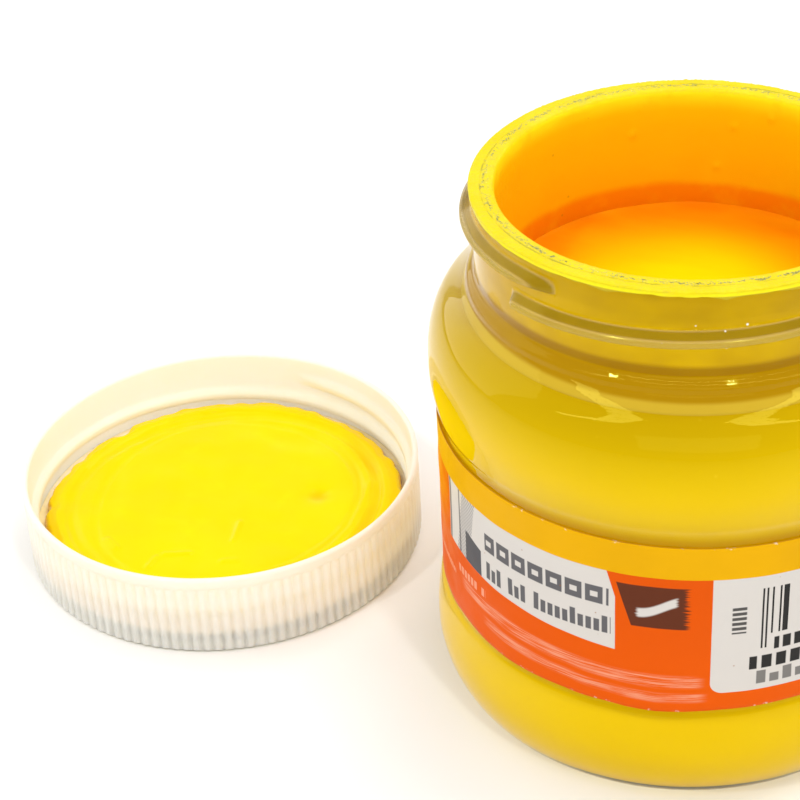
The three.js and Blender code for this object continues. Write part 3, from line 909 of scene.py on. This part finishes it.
def cap_shape(theta, radius, height):
    """Adds the ribs outside and the thread inside."""
    inside = (radius < CAP_INNER + 0.05) & (radius > 30) & (height > 2.6)
    skirt = (radius > CAP_VALLEY - 0.5) & (height < CAP_BAND) & (height > 0.1) & ~inside
    fade = smooth(height, 0.15, 0.7) * (1 - smooth(height, CAP_BAND - 0.5, CAP_BAND))
    radius = np.where(skirt, radius + (CAP_RADIUS - CAP_VALLEY) * rib(theta) * fade, radius)
    return np.where(inside, radius - cap_thread(theta, height), radius), height


def build_cap():
    """The screw cap, lying on its plate with its open side up."""
    rim = (CAP_RADIUS - CAP_INNER) / 2
    middle = CAP_INNER + rim
    rows = line((0, 0.0), (CAP_VALLEY - 0.8, 0.0), 4)
    rows += bend([(CAP_VALLEY - 0.8, 0.0), (CAP_VALLEY - 0.2, 0.0), (CAP_VALLEY, 0.2), (CAP_VALLEY, 0.8)], 12)
    rows += line((CAP_VALLEY, 0.8), (CAP_VALLEY, CAP_BAND - 0.6), 2)
    rows += bend([(CAP_VALLEY, CAP_BAND - 0.6), (CAP_VALLEY, CAP_BAND), (CAP_RADIUS, CAP_BAND - 0.1),
                  (CAP_RADIUS, CAP_BAND + 0.5)], 6)
    rows += line((CAP_RADIUS, CAP_BAND + 0.5), (CAP_RADIUS, CAP_HEIGHT - rim), 0.5)
    rows += [np.array([middle + rim * math.cos(a), CAP_HEIGHT - rim + rim * math.sin(a)])
             for a in np.linspace(0, math.pi, 12)]
    rows += line((CAP_INNER, CAP_HEIGHT - rim - 0.2), (CAP_INNER, 2.7), 0.3)
    rows += bend([(CAP_INNER, 2.7), (CAP_INNER, CAP_PLATE), (CAP_INNER - 0.3, CAP_PLATE)], 4)
    rows += line((CAP_INNER - 0.3, CAP_PLATE), (0, CAP_PLATE), 6) + [np.array([0, CAP_PLATE])]
    cap = spun("screw_cap", rows, 960, [cap_plastic()], cap_shape, centre=CAP_CENTRE)
    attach(cap, "cap")
    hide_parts("cap_shell")


def build_liner():
    """The wad: its margin stands up a little against the skirt, and the paint lies inside it."""
    low, high = LINER_LOW[2], LINER_TOP[2]
    edge, margin = CAP_INNER - 0.12, high + 0.6
    rows = line((0, low), (edge, low), 4) + line((edge, low), (edge, margin - 0.3), 0.4)
    rows += bend([(edge, margin - 0.3), (edge, margin), (edge - 0.5, margin)], 4)
    rows += bend([(edge - 0.5, margin), (edge - 1.2, margin), (30.1, high), (29.4, high)], 8)
    rows += line((29.4, high), (0, high), 1.2) + [np.array([0, high])]

    def shape(theta, radius, height):
        dent = 0.07 * lumps(radius * np.cos(theta), radius * np.sin(theta), 6, 9)
        return radius, height + np.where((height > high - 0.1) & (radius < edge - 0.3), dent - 0.1, 0)

    liner = spun("cap_wad", rows, 240, [liner_board()], shape, centre=CAP_CENTRE)
    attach(liner, "cap_wad")
    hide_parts("cap_liner")


# Small wrinkles in the skin of the paint in the cap: the two ends of each, in mm from the cap's axis
POOL_STREAKS = (((-2.4, -20.5), (-2.5, -18.2)), ((-1.7, -16.8), (2.1, -15.2)), ((5.6, -4.8), (6.9, -9.5)),
                ((8.0, -15.1), (10.1, -14.2)), ((-12.5, -17.1), (-9.8, -18.4)), ((20.6, 14.0), (22.6, 2.7)))


def streak(x, y, start, end, width):
    """1 on the line from start to end, falling to 0 within about two widths of it."""
    (x0, y0), (x1, y1) = start, end
    run, rise = x1 - x0, y1 - y0
    t = np.clip(((x - x0) * run + (y - y0) * rise) / (run ** 2 + rise ** 2), 0, 1)
    return np.exp(-((x - x0 - t * run) ** 2 + (y - y0 - t * rise) ** 2) / width ** 2)


def build_pool():
    """Paint in the cap: a puddle with a lumpy ragged edge, the lip's print near it, and finger swirls."""
    low, high = LINER_TOP[2] - 0.2, POOL_TOP[2]
    radius = POOL_TOP[1]
    rows = line((0, low), (radius - 0.8, low), 4)
    rows += bend([(radius - 0.8, low), (radius, low), (radius, low + 0.5)], 4)
    rows += bend([(radius, low + 0.5), (radius, high - 0.5), (radius - 0.5, high), (radius - 2.2, high)], 14)
    rows += line((radius - 2.2, high), (0, high), 0.3) + [np.array([0, high])]

    def shape(theta, r, z):
        x, y = r * np.cos(theta), r * np.sin(theta)
        ragged = -0.5 + 0.3 * waves(theta, 51, (4, 7, 11, 17), 0.5)
        ragged = ragged + 0.22 * waves(theta, 52, (23, 37, 53), 0.2)
        bite = 0.9 * hump(np.mod(theta, TAU), math.radians(158), 0.03, 0.08)
        edge = np.minimum(ragged - bite, 0.0) * smooth(r / radius, 0.86, 1.0)
        top = smooth(z, low + 0.8, high - 0.05)
        right = 0.35 + 0.65 * hump(np.mod(theta + math.pi, TAU) - math.pi, 0.1, 0.7, 0.7)
        groove = 0.5 * hump(r, 25.2 + 0.5 * waves(theta, 53, (2, 3)), 0.35, 1.0)
        groove = groove + 0.34 * hump(r, 22.6 + 0.8 * waves(theta, 56, (2, 3)), 0.2, 0.9)
        ridge = 0.3 * hump(r, 27.4, 0.4, 1.1)
        swirl = 0.1 * lumps(x, y, 54, 17) + 0.07 * lumps(x + 0.3 * y, y, 55, 6)
        dimple = 0.75 * np.exp(-((x - 13.9) ** 2 + (y - 7.2) ** 2) / 5.0)
        marks = sum(0.24 * streak(x, y, *ends, 0.5) for ends in POOL_STREAKS)
        lift = (swirl + marks - dimple - groove * right + ridge - 0.12) * top * smooth(radius - r, 0.1, 1.6)
        return r + edge, np.minimum(z + lift, high + 0.2)

    pool = spun("cap_puddle", rows, 480, [cap_paint()], shape, centre=CAP_CENTRE)
    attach(pool, "cap_wad")
    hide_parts("cap_paint_pool")


# ---------------------------------------------------------------- studio

def build_floor():
    """A pale floor, just under the jar."""
    g = Graph("studio_floor")
    tone = g.mix(g.noise(6, 2), (0.88, 0.88, 0.875), (0.9, 0.9, 0.895))
    material = g.surface(Base_Color=tone, Roughness=0.6, Specular_IOR_Level=0.1)
    side = 4000
    floor = made("floor", [[-side, -side, 0], [side, -side, 0], [side, side, 0], [-side, side, 0]],
                 [0, 1, 2, 3], [4], [material], centre=(0, 0, -0.00005))


def soft_light(name, place, target, size, power):
    """A rectangular white area light that faces a target."""
    data = bpy.data.lights.new(name, "AREA")
    data.shape = "RECTANGLE"
    data.size, data.size_y = size
    data.energy = power
    lamp = bpy.data.objects.new(name, data)
    lamp.location = place
    lamp.rotation_mode = "QUATERNION"
    lamp.rotation_quaternion = (Vector(target) - Vector(place)).to_track_quat("-Z", "Y")
    bpy.context.scene.collection.objects.link(lamp)


def build_lights():
    """Soft boxes, a narrow strip and two small sparks, in a pale room."""
    world = bpy.data.worlds.new("studio")
    world.use_nodes = True
    background = world.node_tree.nodes["Background"]
    background.inputs["Color"].default_value = (1.0, 0.995, 0.985, 1.0)
    background.inputs["Strength"].default_value = 0.5
    bpy.context.scene.world = world
    middle = (-0.02, 0, 0.05)
    soft_light("key", (0.2, 0.45, 1.0), middle, (0.8, 0.7), 6.2)
    soft_light("left_box", (-0.95, 0.1, 0.5), middle, (1.2, 0.9), 4.4)
    soft_light("right_box", (0.95, 0.15, 0.6), middle, (0.7, 0.7), 1.0)
    soft_light("front_fill", (0.4, -0.85, 0.5), middle, (0.9, 0.5), 1.6)
    soft_light("front_strip", (0.15, -0.47, 0.9), middle, (1.9, 0.06), 2.4)
    soft_light("left_spark", (-0.24, -0.42, 0.78), middle, (0.045, 0.045), 1.1)
    soft_light("right_spark", (0.36, -0.32, 0.8), middle, (0.045, 0.045), 1.1)
    bpy.context.scene.view_settings.view_transform = "Standard"


def build_camera():
    """The camera: how far it stands from the jar's axis, and where it looks."""
    bearing, reach, height = math.radians(18.885), 0.27407, 0.22837
    yaw, pitch, roll = 0.1504 + bearing, 0.586, -0.057
    forward = Vector((-math.sin(yaw) * math.cos(pitch), math.cos(yaw) * math.cos(pitch), -math.sin(pitch)))
    level = Vector((math.cos(yaw), math.sin(yaw), 0))
    upward = level.cross(forward)
    right = math.cos(roll) * level + math.sin(roll) * upward
    up = math.cos(roll) * upward - math.sin(roll) * level
    data = bpy.data.cameras.new("camera")
    data.sensor_width = 36.0
    data.lens = 102.1
    camera = bpy.data.objects.new("camera", data)
    place = Vector((reach * math.sin(bearing), -reach * math.cos(bearing), height))
    turn = Matrix((right, up, -forward)).transposed().to_4x4()
    camera.matrix_world = Matrix.Translation(place) @ turn
    bpy.context.scene.collection.objects.link(camera)
    bpy.context.scene.camera = camera


build_camera()
build_jar()
build_paint()
build_film()
build_flecks()
build_label()
build_cap()
build_liner()
build_pool()
build_floor()
build_lights()
